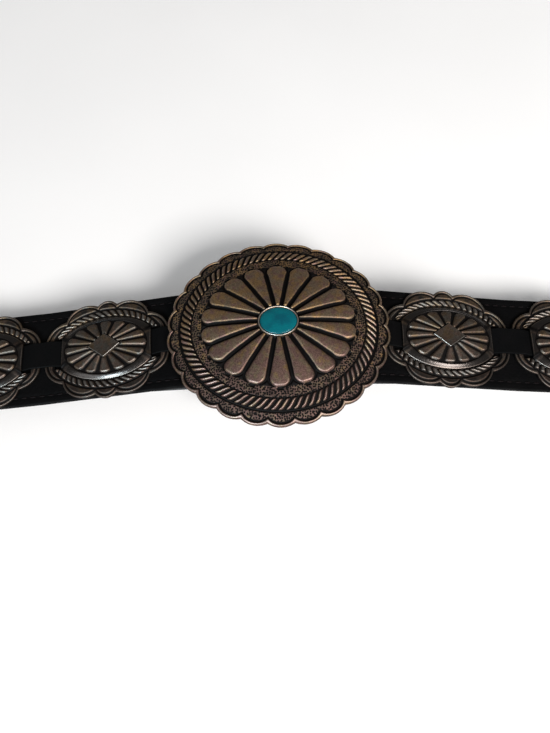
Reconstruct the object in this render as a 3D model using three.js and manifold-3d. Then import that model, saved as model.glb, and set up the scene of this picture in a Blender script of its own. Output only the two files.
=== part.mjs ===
// A western belt, fastened and lying face up as a flattened loop.
// A big oval cast buckle with a turquoise stone sits at the middle of the front.
// On each side a narrow strap is threaded through two cast conchos that lie on a black leather panel.
// A plain elastic band, hidden in front view, runs from one panel round the back to the other.
// Millimetres, +Z up, +X along the belt, the origin on the surface it lies on, under the buckle's centre.
import * as THREE from "three";
import Module from "manifold-3d";

const wasm = await Module();
wasm.setup();

// The band that everything sits on
const BAND_WIDTH = 43;
const LEATHER = 2.4;
const ELASTIC = 2;
const GAP = 0.3;
const FOLD_RADIUS = 4.2;
const END_X = 216;
const LAP = 15;

// The front's low arch: height of the leather's face over the surface
const ARCH_END = 13.05;
const ARCH_RISE = 13.8;
const ARCH_REACH = 92;

// The belt's line seen from above, with a slight kink near the buckle
const KINK_X = -5.9;
const KINK_Y = 1;
const SLOPE_LEFT = 0.058;
const SLOPE_RIGHT = 0.053;
const BACK_Y = 6;
const BACK_BOW = 13.5;

// Where the conchos lie along the front. They have all slid a little to the left of their stretches' middles
const BUCKLE_SEAT = 44.5;
const CONCHO_PITCH = 57.5;
const CONCHO_SLIDE = -0.9;
const PANEL_INNER = 4;
const PANEL_OUTER = 167;

// The buckle, heights over the leather's face
const BUCKLE = { a: 47.2, b: 42.3, rim: 4.5, thick: 1.5, dome: 8.65, power: 2.5, wall: 2.2 };
const BUCKLE_SCALLOPS = 26;
const BUCKLE_NOTCH = 1.4;
const ROPE_OUT = 6.1;
const ROPE_IN = 10.9;
const ROPE_STRANDS = 42;
const ROPE_HEIGHT = 0.85;
const PETAL_EDGE = 14.9;
const BUCKLE_PETALS = 18;
const PETAL_HEIGHT = 0.8;
const STONE = { a: 7.6, b: 6.05, rise: 1.3 };
const BEZEL_WALL = 0.7;

// The hook piece behind the buckle
const HOOK = { length: 56, width: 14, thick: 1.6, post: 5, postX: 18, head: 9, headThick: 1.2 };
const SEAT = { x: 23, diameter: 8 };

// The conchos, heights over the leather's face
const CONCHO = { a: 28.9, b: 23.4, ground: 1.1, line: 1.4, notch: 2.5, small: 0.7 };
const CONCHO_NOTCHES = [9.4, 45, 90, 133.4, 170];
const DOME = { a: 22.8, b: 14.6, side: 20, foot: 1.1, shoulder: 2.5 };
const CONCHO_PETALS = 16;
const PETALS = { a: 18.3, b: 12.1, height: 0.8 };
const LOZENGE = { width: 13.6, height: 10.5, top: 4.7 };
const ARC_ROPE = { innerA: 23.8, innerB: 15, outerA: 26.4, outerB: 18, strands: 9, height: 0.9 };
const SLOT = { outer: 23.5, half: 7, roof: 1.75 };

// The narrow strap
const STRAP = { width: 11.8, thick: 1, over: 1.65, under: 0.3, rampIn: 20.3, rampOut: 23.9 };
const STRAP_INNER = 36;
const STRAP_OUTER = 166;

const CAST_METAL = new THREE.MeshStandardMaterial({ color: 0x8a7a68, roughness: 0.42, metalness: 0.9 });
const PLAIN_METAL = new THREE.MeshStandardMaterial({ color: 0x6b665f, roughness: 0.5, metalness: 0.9 });
const TURQUOISE = new THREE.MeshStandardMaterial({ color: 0x0a7f86, roughness: 0.3, metalness: 0 });
const BLACK_LEATHER = new THREE.MeshStandardMaterial({ color: 0x1b181a, roughness: 0.75, metalness: 0 });
const STRAP_LEATHER = new THREE.MeshStandardMaterial({ color: 0x2c2b2d, roughness: 0.8, metalness: 0 });
const WEBBING = new THREE.MeshStandardMaterial({ color: 0x151416, roughness: 0.9, metalness: 0 });

const TURN = 2 * Math.PI;
const radians = THREE.MathUtils.degToRad;
const mix = THREE.MathUtils.lerp;

// A closed body through loops of points, each loop joined to the next.
// Joined end to end it is a ring, otherwise a fan of triangles closes each end.
function loft(loops, ring = false) {
  const count = loops[0].length;
  const points = loops.flat();
  const faces = [];
  const spans = ring ? loops.length : loops.length - 1;
  for (let i = 0; i < spans; i += 1) {
    const low = i * count;
    const high = ((i + 1) % loops.length) * count;
    for (let j = 0; j < count; j += 1) {
      const k = (j + 1) % count;
      faces.push(low + j, low + k, high + k, low + j, high + k, high + j);
    }
  }
  if (!ring) {
    const middle = (loop) => loop.reduce((sum, p) => sum.add(p), new THREE.Vector3()).divideScalar(count);
    const start = points.push(middle(loops[0])) - 1;
    const end = points.push(middle(loops.at(-1))) - 1;
    const top = (loops.length - 1) * count;
    for (let j = 0; j < count; j += 1) {
      const k = (j + 1) % count;
      faces.push(start, k, j, end, top + j, top + k);
    }
  }
  const geometry = new THREE.BufferGeometry().setFromPoints(points);
  geometry.setIndex(faces);
  return geometry;
}

// A point on an ellipse, its angle counted anticlockwise from +X
function onEllipse(a, b, angle, z) {
  return new THREE.Vector3(a * Math.cos(angle), b * Math.sin(angle), z);
}

// The solid that a closed indexed geometry bounds
function solid(geometry) {
  const bare = geometry.index ? geometry : indexed(geometry);
  const mesh = new wasm.Mesh({
    numProp: 3,
    vertProperties: new Float32Array(bare.attributes.position.array),
    triVerts: new Uint32Array(bare.index.array),
  });
  return new wasm.Manifold(mesh);
}

// A library geometry with its shared corners merged
function indexed(geometry) {
  const seen = new Map();
  const points = [];
  const faces = [];
  const source = geometry.index ? geometry.toNonIndexed() : geometry;
  const place = source.attributes.position;
  for (let i = 0; i < place.count; i += 1) {
    const point = new THREE.Vector3().fromBufferAttribute(place, i);
    const key = point.toArray().map((value) => Math.round(value * 1e4)).join(" ");
    if (!seen.has(key)) seen.set(key, points.push(point) - 1);
    faces.push(seen.get(key));
  }
  const merged = new THREE.BufferGeometry().setFromPoints(points);
  merged.setIndex(faces);
  return merged;
}

function box(x0, x1, y0, y1, z0, z1) {
  const geometry = new THREE.BoxGeometry(x1 - x0, y1 - y0, z1 - z0);
  geometry.translate((x0 + x1) / 2, (y0 + y1) / 2, (z0 + z1) / 2);
  return solid(indexed(geometry));
}

// An upright round bar between two heights
function bar(x, y, diameter, z0, z1, sides = 12) {
  const geometry = new THREE.CylinderGeometry(diameter / 2, diameter / 2, z1 - z0, sides);
  geometry.rotateX(Math.PI / 2).translate(x, y, (z0 + z1) / 2);
  return solid(indexed(geometry));
}

// A body's faces as a geometry with flat normals
function geometryOf(body) {
  const mesh = body.getMesh();
  const geometry = new THREE.BufferGeometry();
  geometry.setAttribute("position", new THREE.BufferAttribute(mesh.vertProperties, 3));
  geometry.setIndex(new THREE.BufferAttribute(mesh.triVerts, 1));
  const flat = geometry.toNonIndexed();
  flat.computeVertexNormals();
  return flat;
}

// How far an angle lies from its scallop's middle, from -1 at one notch to 1 at the next
function scallopPlace(angle, notches) {
  const turned = ((angle % TURN) + TURN) % TURN;
  const next = notches.findIndex((notch) => notch > turned + 1e-9);
  const high = next < 0 ? notches[0] + TURN : notches[next];
  const low = next < 0 ? notches.at(-1) : (notches[next - 1] ?? notches.at(-1) - TURN);
  return (2 * (turned - low)) / (high - low) - 1;
}

// Angles that divide each scallop, or petal, at the same fractions of its width
function dividedAngles(notches, fractions) {
  return notches.flatMap((low, i) => {
    const high = i + 1 < notches.length ? notches[i + 1] : notches[0] + TURN;
    return fractions.map((part) => mix(low, high, part));
  });
}

// Evenly spaced notches with a lobe centred at the top
function evenNotches(count) {
  const first = Math.PI / 2 + Math.PI / count;
  const turned = Array.from({ length: count }, (unused, k) => (first + (k * TURN) / count) % TURN);
  return turned.sort((p, q) => p - q);
}

// The buckle's smooth dome over its rim, by the ratio of a ring's half axis to the rim's
function domeHeight(offset) {
  const ratio = (BUCKLE.a - offset) / BUCKLE.a;
  return BUCKLE.rim + BUCKLE.dome * (1 - ratio ** BUCKLE.power);
}

function buckleRing(angles, offset, z) {
  return angles.map((angle) => onEllipse(BUCKLE.a - offset, BUCKLE.b - offset, angle, z));
}

// The scalloped plate, with a raised line along its edge and lower ground inside it
function bucklePlate() {
  const notches = evenNotches(BUCKLE_SCALLOPS);
  const angles = dividedAngles(notches, [0, 0.2, 0.5, 0.8]);
  const edge = (inset, z) =>
    angles.map((angle) => {
      const dip = BUCKLE_NOTCH * scallopPlace(angle, notches) ** 2;
      return onEllipse(BUCKLE.a - inset - dip, BUCKLE.b - inset - dip, angle, z);
    });
  const ground = 0.4;
  return loft([
    edge(0.3, BUCKLE.rim - BUCKLE.thick),
    edge(0, BUCKLE.rim - 0.4),
    edge(0.7, BUCKLE.rim),
    edge(1.5, domeHeight(1.5) - ground),
    buckleRing(angles, ROPE_OUT, domeHeight(ROPE_OUT) - ground),
    buckleRing(angles, ROPE_IN + 1, domeHeight(ROPE_IN + 1) - 1),
  ]);
}

// The rope ring: slanting strands, high at their middles and low where they meet
function buckleRope() {
  const slant = TURN / ROPE_STRANDS;
  const section = (k) => {
    const angle = (k * Math.PI) / ROPE_STRANDS;
    const crest = k % 2 ? 0.3 : 1;
    const at = (offset, turn, rise) =>
      onEllipse(BUCKLE.a - offset, BUCKLE.b - offset, angle + turn * slant, domeHeight(offset) + rise);
    return [
      at(ROPE_IN - 0.2, 1, -1.4),
      at((ROPE_OUT + ROPE_IN) / 2, 0, crest * ROPE_HEIGHT),
      at(ROPE_OUT + 0.2, -1, -1.2),
    ];
  };
  return loft(Array.from({ length: 2 * ROPE_STRANDS }, (unused, k) => section(k)), true);
}

// The dome with its raised petals, and the bezel round the stone
function bucklePetals() {
  const grooves = evenNotches(BUCKLE_PETALS);
  const angles = dividedAngles(grooves, [0, 0.14, 0.5, 0.86]);
  const tip = { a: BUCKLE.a - PETAL_EDGE, b: BUCKLE.b - PETAL_EDGE };
  const bezel = { a: STONE.a + BEZEL_WALL + 0.6, b: STONE.b + BEZEL_WALL + 0.6 };
  // share 0 is the bezel's ring and 1 the petal tips', lift is the petal's height at that ring
  const ring = (share, pull, lift) =>
    angles.map((angle) => {
      const place = Math.abs(scallopPlace(angle, grooves));
      const inward = pull * place ** 4;
      const a = mix(bezel.a, tip.a, share) - inward;
      const b = mix(bezel.b, tip.b, share) - inward;
      const raised = place < 0.99 ? lift : 0;
      return onEllipse(a, b, angle, domeHeight(BUCKLE.a - a) - 0.2 + raised);
    });
  const oval = (wall, z) => angles.map((angle) => onEllipse(STONE.a + wall, STONE.b + wall, angle, z));
  const top = domeHeight(BUCKLE.a - STONE.a);
  return loft([
    buckleRing(angles, ROPE_IN + 0.6, domeHeight(ROPE_IN) - 3),
    buckleRing(angles, ROPE_IN + 0.6, domeHeight(ROPE_IN) - 0.4),
    ring(1.02, 1.2, -0.1),
    ring(1, 1.2, PETAL_HEIGHT),
    ring(0.5, 0, PETAL_HEIGHT),
    ring(0.04, 0, PETAL_HEIGHT),
    ring(0, 0, 0),
    oval(BEZEL_WALL, top - 0.2),
    oval(BEZEL_WALL, top + 0.6),
    oval(GAP, top + 0.6),
    oval(GAP, top - 0.6),
  ]);
}

// The hollow behind the cast face
function buckleHollow() {
  const angles = Array.from({ length: 32 }, (unused, k) => (k * TURN) / 32);
  const under = BUCKLE.rim - BUCKLE.thick;
  const roof = (offset) => domeHeight(offset) - BUCKLE.wall;
  return loft([
    buckleRing(angles, 8, under - 1),
    buckleRing(angles, 9, Math.max(roof(9), under + 0.1)),
    buckleRing(angles, 18, roof(18)),
    buckleRing(angles, 34, roof(34)),
  ]);
}

function buckleBody() {
  const hookTop = GAP + HOOK.thick;
  let body = solid(bucklePlate()).add(solid(buckleRope())).add(solid(bucklePetals()));
  body = body.subtract(solid(buckleHollow()));
  for (const side of [-1, 1]) {
    const x = side * SEAT.x;
    body = body.add(bar(x, 0, SEAT.diameter, hookTop + GAP, domeHeight(BUCKLE.a - SEAT.x) - 1));
  }
  return geometryOf(body);
}

// The oval stone: a low crowned cabochon
function stoneBody() {
  const base = domeHeight(BUCKLE.a - STONE.a) - 0.6 + GAP;
  const angles = Array.from({ length: 24 }, (unused, k) => (k * TURN) / 24);
  const ring = (share, rise) =>
    angles.map((angle) => onEllipse(STONE.a * share, STONE.b * share, angle, base + rise));
  const wall = 0.7;
  const levels = [0, 0.35, 0.65, 0.88];
  const crown = levels.map((rise) => ring(Math.sqrt(1 - rise ** 2), wall + STONE.rise * rise));
  return loft([ring(1, 0), ...crown, ring(0.2, wall + STONE.rise * 0.98)]);
}

// The plain hook piece: a flat bar with two headed posts that hold the leather's ends
function hookBody() {
  const head = -LEATHER - GAP;
  let body = box(-HOOK.length / 2, HOOK.length / 2, -HOOK.width / 2, HOOK.width / 2, GAP, GAP + HOOK.thick);
  for (const side of [-1, 1]) {
    const x = side * HOOK.postX;
    body = body.add(bar(x, 0, HOOK.post, head - 0.1, GAP + 0.1));
    body = body.add(bar(x, 0, HOOK.head, head - HOOK.headThick, head));
  }
  return geometryOf(body);
}

// The concho's scalloped flange with a raised edge line. Its small middle scallops reach less far out.
function conchoFlange() {
  const half = CONCHO_NOTCHES.map((angle) => radians(90 - angle));
  const notches = [...half, ...half.map((angle) => Math.PI - angle)];
  const turned = notches.map((angle) => (angle + TURN) % TURN);
  const sorted = [...new Set(turned.map((angle) => Math.round(angle * 1e6) / 1e6))].sort((p, q) => p - q);
  const angles = dividedAngles(sorted, [0, 0.25, 0.5, 0.75]);
  const ring = (inset, z) =>
    angles.map((angle) => {
      const place = scallopPlace(angle, sorted);
      const small = Math.abs(Math.cos(angle)) < 0.17 ? CONCHO.small : 0;
      const dip = inset + mix(small, CONCHO.notch, place ** 2);
      return onEllipse(CONCHO.a - dip, CONCHO.b - dip, angle, z);
    });
  return loft([
    ring(0, GAP),
    ring(0.4, CONCHO.line),
    ring(1.3, CONCHO.ground),
    angles.map((angle) => onEllipse(DOME.side - 1, DOME.b - 1, angle, CONCHO.ground)),
  ]);
}

// One rope arc of the concho, over the dome or under it
function conchoRope(side) {
  const start = radians(30);
  const steps = 2 * ARC_ROPE.strands;
  const slant = radians(2.5);
  const section = (k) => {
    const angle = side * mix(start, Math.PI - start, k / steps);
    const crest = k % 2 ? 0.35 : 1;
    const at = (share, turn, z) => {
      const a = mix(ARC_ROPE.innerA, ARC_ROPE.outerA, share);
      const b = mix(ARC_ROPE.innerB, ARC_ROPE.outerB, share);
      return onEllipse(a, b, angle + turn * slant, z);
    };
    return [
      at(0, -1, CONCHO.ground - 0.2),
      at(0.5, 0, CONCHO.ground + ARC_ROPE.height * crest),
      at(1, 1, CONCHO.ground - 0.2),
    ];
  };
  const loops = Array.from({ length: steps + 1 }, (unused, k) => section(k));
  return loft(side > 0 ? loops : loops.reverse());
}

// The concho's dome with straight sides, a plain border and raised petals round a lozenge
function conchoDome() {
  const grooves = evenNotches(CONCHO_PETALS);
  const angles = dividedAngles(grooves, [0, 0.16, 0.84]);
  const clipped = (a, b, limit, z) =>
    angles.map((angle) => {
      const point = onEllipse(a, b, angle, z);
      point.x = THREE.MathUtils.clamp(point.x, -limit, limit);
      return point;
    });
  const petals = (share, base, lift) =>
    angles.map((angle) => {
      const raised = Math.abs(scallopPlace(angle, grooves)) < 0.99 ? lift : 0;
      return onEllipse(PETALS.a * share, PETALS.b * share, angle, base + raised);
    });
  const border = DOME.shoulder + 0.2;
  return loft([
    clipped(DOME.a, DOME.b, DOME.side, (GAP + CONCHO.ground) / 2),
    clipped(DOME.a, DOME.b, DOME.side, DOME.foot),
    clipped(DOME.a - 1.1, DOME.b - 1.1, DOME.side - 0.7, DOME.shoulder),
    clipped(PETALS.a + 0.7, PETALS.b + 0.7, PETALS.a + 0.7, border),
    petals(0.97, border - 0.1, PETALS.height),
    petals(0.2, border + 1.05, PETALS.height),
  ]);
}

function lozenge() {
  const bevel = 0.92;
  const geometry = new THREE.CylinderGeometry(bevel / 2, 0.5, 1, 4);
  geometry.rotateX(Math.PI / 2);
  const low = DOME.shoulder;
  geometry.scale(LOZENGE.width, LOZENGE.height, LOZENGE.top - low);
  geometry.translate(0, 0, (low + LOZENGE.top) / 2);
  return solid(indexed(geometry));
}

function conchoBody() {
  let body = solid(conchoFlange()).add(solid(conchoDome())).add(lozenge());
  for (const side of [1, -1]) {
    body = body.add(solid(conchoRope(side)));
  }
  body = body.subtract(box(-SLOT.outer, SLOT.outer, -SLOT.half, SLOT.half, -1, SLOT.roof));
  return geometryOf(body);
}

// Where the front's straight stretches meet, and the height of the leather's face there
const STATIONS = [BUCKLE_SEAT, BUCKLE_SEAT + CONCHO_PITCH, BUCKLE_SEAT + 2 * CONCHO_PITCH, END_X];
const archAt = (x) => ARCH_END + ARCH_RISE * Math.exp(-((x / ARCH_REACH) ** 2));
const LEVELS = [{ x: 0, z: archAt(BUCKLE_SEAT) }, ...STATIONS.map((x) => ({ x, z: archAt(x) }))];

// A point of the front in side view, a height over the leather's face, square to it
function onFront(x, lift) {
  const distance = Math.min(Math.abs(x), END_X);
  const high = Math.max(LEVELS.findIndex((level) => level.x >= distance - 1e-9), 1);
  const [p, q] = [LEVELS[high - 1], LEVELS[high]];
  const share = (distance - p.x) / (q.x - p.x);
  const across = new THREE.Vector2(q.x - p.x, q.z - p.z).normalize();
  const point = new THREE.Vector2(distance - across.y * lift, mix(p.z, q.z, share) + across.x * lift);
  return new THREE.Vector2(Math.sign(x || 1) * point.x, point.y);
}

// The front's line seen from above
function frontY(x) {
  const slope = x < KINK_X ? SLOPE_LEFT : SLOPE_RIGHT;
  return KINK_Y - slope * Math.abs(x - KINK_X);
}

// The height of the elastic's middle along the front
const elasticLevel = (x) => onFront(x, -LEATHER - GAP - ELASTIC / 2).y;

// The elastic's line seen from above: the front's line above, the bowed back's line on the surface
function elasticY(x, z) {
  const back = BACK_Y - BACK_BOW * (x / END_X) ** 2;
  const share = THREE.MathUtils.clamp((elasticLevel(x) - z) / (elasticLevel(x) - ELASTIC / 2), 0, 1);
  return mix(frontY(x), back, share);
}

// A band of the given width, laid along a line seen from above.
// Its upper and lower faces are matching points in side view, in order from left to right over the top.
function band(upper, lower, width, lineY) {
  const corner = (point, side) =>
    new THREE.Vector3(point.x, lineY(point.x, point.y) + (side * width) / 2, point.y);
  return loft(upper.map((top, i) => [
    corner(lower[i], 1), corner(top, 1), corner(top, -1), corner(lower[i], -1),
  ]));
}

// The same for the front's left or right side, from distances along it and heights over the leather's face
function frontBand(side, route, width) {
  const outward = side > 0 ? route : [...route].reverse();
  const upper = outward.map(([x, low, high]) => onFront(side * x, high));
  const lower = outward.map(([x, low]) => onFront(side * x, low));
  return band(upper, lower, width, frontY);
}

// The stretches of leather between the buckle and the elastic
function panelBody(side) {
  const stops = [PANEL_INNER, ...STATIONS.slice(0, 3), PANEL_OUTER];
  let body = solid(frontBand(side, stops.map((x) => [x, -LEATHER, 0]), BAND_WIDTH));
  const face = onFront(0, 0).y;
  body = body.subtract(bar(side * HOOK.postX, 0, HOOK.post + 2 * GAP, face - LEATHER - 1, face + 1));
  return geometryOf(body);
}

// The narrow strap: over each concho's flange, down its slots and along under its dome
function strapBody(side) {
  const ramp = STRAP.rampOut - STRAP.rampIn;
  const route = [
    [STRAP_INNER, STRAP.under],
    [BUCKLE_SEAT - 1 - ramp, STRAP.under],
    [BUCKLE_SEAT - 1, STRAP.over],
  ];
  for (const n of [0, 1]) {
    const middle = BUCKLE_SEAT + (n + 0.5) * CONCHO_PITCH + side * CONCHO_SLIDE;
    route.push([middle - STRAP.rampOut, STRAP.over], [middle - STRAP.rampIn, STRAP.under]);
    route.push([middle + STRAP.rampIn, STRAP.under], [middle + STRAP.rampOut, STRAP.over]);
    route.push([middle + CONCHO_PITCH / 2, STRAP.over]);
  }
  route.push([STRAP_OUTER - ramp, STRAP.under], [STRAP_OUTER, STRAP.under]);
  return frontBand(side, route.map(([x, lift]) => [x, lift, lift + STRAP.thick]), STRAP.width);
}

// The elastic: lapped under both leather ends, round the two end folds and flat along the back
function elasticBody() {
  const foldSteps = 8;
  const backSteps = 16;
  const path = [];
  const middle = FOLD_RADIUS + ELASTIC / 2;
  const lapStart = PANEL_OUTER - LAP;
  const lift = -LEATHER - GAP - ELASTIC / 2;
  const fold = (side, k) => {
    const angle = Math.PI / 2 - (Math.PI * k) / foldSteps;
    const x = END_X + FOLD_RADIUS * Math.cos(angle);
    return new THREE.Vector2(side * x, middle + FOLD_RADIUS * Math.sin(angle));
  };
  for (const x of [lapStart, STATIONS[2], (STATIONS[2] + END_X) / 2]) {
    path.push(onFront(x, lift));
  }
  for (let k = 0; k <= foldSteps; k += 1) path.push(fold(1, k));
  for (let k = 1; k < backSteps; k += 1) {
    path.push(new THREE.Vector2(mix(END_X, -END_X, k / backSteps), ELASTIC / 2));
  }
  for (let k = foldSteps; k >= 0; k -= 1) path.push(fold(-1, k));
  for (const x of [(STATIONS[2] + END_X) / 2, STATIONS[2], lapStart]) {
    path.push(onFront(-x, lift));
  }
  const across = path.map((point, i) => {
    const before = path[Math.max(i - 1, 0)];
    const after = path[Math.min(i + 1, path.length - 1)];
    const along = after.clone().sub(before).normalize();
    return new THREE.Vector2(-along.y, along.x).multiplyScalar(ELASTIC / 2);
  });
  const outer = path.map((point, i) => point.clone().add(across[i]));
  const inner = path.map((point, i) => point.clone().sub(across[i]));
  return band(outer, inner, BAND_WIDTH, elasticY);
}

function named(name, geometry, material) {
  const mesh = new THREE.Mesh(geometry, material);
  mesh.name = name;
  return mesh;
}

const belt = new THREE.Group();

const buckle = new THREE.Group();
buckle.position.z = onFront(0, 0).y;
buckle.add(
  named("buckle", buckleBody(), CAST_METAL),
  named("buckle_stone", stoneBody(), TURQUOISE),
  named("buckle_hook", hookBody(), PLAIN_METAL),
);
belt.add(buckle);

const conchoGeometry = conchoBody();
for (const [name, side] of [["left", -1], ["right", 1]]) {
  belt.add(named(`leather_${name}`, panelBody(side), BLACK_LEATHER));
  belt.add(named(`strap_${name}`, strapBody(side), STRAP_LEATHER));
  for (const n of [0, 1]) {
    const [low, high] = [LEVELS[n + 1], LEVELS[n + 2]];
    const seat = onFront((side * (low.x + high.x)) / 2 + CONCHO_SLIDE, 0);
    const slope = side < 0 ? SLOPE_LEFT : -SLOPE_RIGHT;
    const concho = named(`concho_${name}_${n === 0 ? "inner" : "outer"}`, conchoGeometry, CAST_METAL);
    concho.position.set(seat.x, frontY(seat.x), seat.y);
    concho.rotation.set(0, side * Math.atan2(low.z - high.z, high.x - low.x), Math.atan(slope), "ZYX");
    belt.add(concho);
  }
}
belt.add(named("elastic_band", elasticBody(), WEBBING));

export default belt;
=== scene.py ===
"""The looks of a fastened western belt that lies face up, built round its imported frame.

An oval cast buckle with a turquoise stone, four cast conchos on narrow straps, black stitched leather
and a plain elastic back. Shapes are worked out in millimetres and put into meshes in metres.
"""

import logging
import math
from dataclasses import dataclass, field
from enum import Enum
from typing import Callable

import bpy
import numpy as np
from mathutils import Matrix, Vector


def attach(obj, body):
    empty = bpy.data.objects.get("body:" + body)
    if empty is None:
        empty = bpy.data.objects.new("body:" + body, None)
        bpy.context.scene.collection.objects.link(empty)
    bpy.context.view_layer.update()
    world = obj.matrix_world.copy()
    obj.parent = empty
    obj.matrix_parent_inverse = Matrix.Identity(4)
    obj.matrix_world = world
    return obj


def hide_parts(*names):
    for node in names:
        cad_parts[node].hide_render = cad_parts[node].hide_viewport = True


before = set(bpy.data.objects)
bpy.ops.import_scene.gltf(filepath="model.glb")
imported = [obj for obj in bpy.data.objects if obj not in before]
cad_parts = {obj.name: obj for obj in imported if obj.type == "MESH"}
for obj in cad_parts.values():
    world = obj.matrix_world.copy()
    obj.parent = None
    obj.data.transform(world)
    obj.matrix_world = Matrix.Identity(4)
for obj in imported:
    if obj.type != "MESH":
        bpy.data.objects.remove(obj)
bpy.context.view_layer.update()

MM = 0.001
TURN = 2 * math.pi
BODY = "root"
LOG = logging.getLogger("belt")
Array = np.ndarray
Part = tuple[Array, Array | float, Array | float]
SHADES = ("wear_and_painted_light", "punched", "polish")


class Side(Enum):
    """The belt's two halves, as signs of X."""

    LEFT = -1
    RIGHT = 1

    @property
    def word(self) -> str:
        """The side's name as it stands in the nodes' names."""
        return self.name.lower()


def smooth(value: Array, low: float, high: float) -> Array:
    """A soft step from 0 at low to 1 at high."""
    share = np.clip((value - low) / (high - low), 0, 1)
    return share * share * (3 - 2 * share)


def hump(value: Array, middle: float, width: float) -> Array:
    """A bell-shaped bump, 1 at the middle and small one width away."""
    return np.exp(-(((value - middle) / width) ** 2))


def pillow(distance: Array, width: float) -> Array:
    """A quarter-round shoulder: 0 at the edge, rising to 1 over the width."""
    share = np.clip(distance / width, 0, 1)
    return np.sqrt(1 - (1 - share) ** 2)


def arch(value: Array, power: float = 2) -> Array:
    """A round back: the root of one less a power of the value, and nothing from a value of 1 on."""
    return np.sqrt(np.clip(1 - value**power, 0, 1))


def strand_place(turns: Array) -> Array:
    """Where a point lies across its rope strand: 0 on the strand's crest, 1 between two strands."""
    return np.abs(np.mod(turns, 1) - 0.5) * 2


def off_axis(angle: Array) -> Array:
    """The angle between a direction and the X axis, from 0 to a quarter turn."""
    return np.abs(np.mod(angle + math.pi / 2, math.pi) - math.pi / 2)


def lifted(curve: Array, z: Array | float) -> Array:
    """Points on flat curves, raised to the given heights."""
    return np.concatenate([curve, np.broadcast_to(z, curve.shape[:-1])[..., None]], axis=-1)


def oval(a: Array | float, b: Array | float, angle: Array, z: Array | float) -> Array:
    """Points on ovals with the given half axes, at angles anticlockwise from +X."""
    x = a * np.cos(angle)
    y = b * np.sin(angle)
    return np.stack(np.broadcast_arrays(x, y, z), axis=-1)


def lobe_place(angle: Array, notches: Array) -> Array:
    """Where an angle lies between its two notches.

    Args:
        angle: Angles in radians.
        notches: Notch angles in rising order, from 0 up to a turn.

    Returns:
        -1 at the notch before, 0 at the lobe's middle and 1 at the notch after.
    """
    turned = np.mod(angle, TURN)
    edges = np.concatenate([[notches[-1] - TURN], notches, [notches[0] + TURN]])
    slot = np.searchsorted(edges, turned + 1e-9) - 1
    low = edges[slot]
    high = edges[slot + 1]
    return 2 * (turned - low) / (high - low) - 1


def even_notches(count: int) -> Array:
    """Evenly spaced notches with a lobe's middle at the top."""
    return np.sort(np.mod(math.pi / 2 + math.pi / count + np.arange(count) * TURN / count, TURN))


def link(name: str, data: bpy.types.ID) -> bpy.types.Object:
    """Puts a new object with the given data in the scene."""
    made = bpy.data.objects.new(name, data)
    bpy.context.scene.collection.objects.link(made)
    return made


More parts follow.
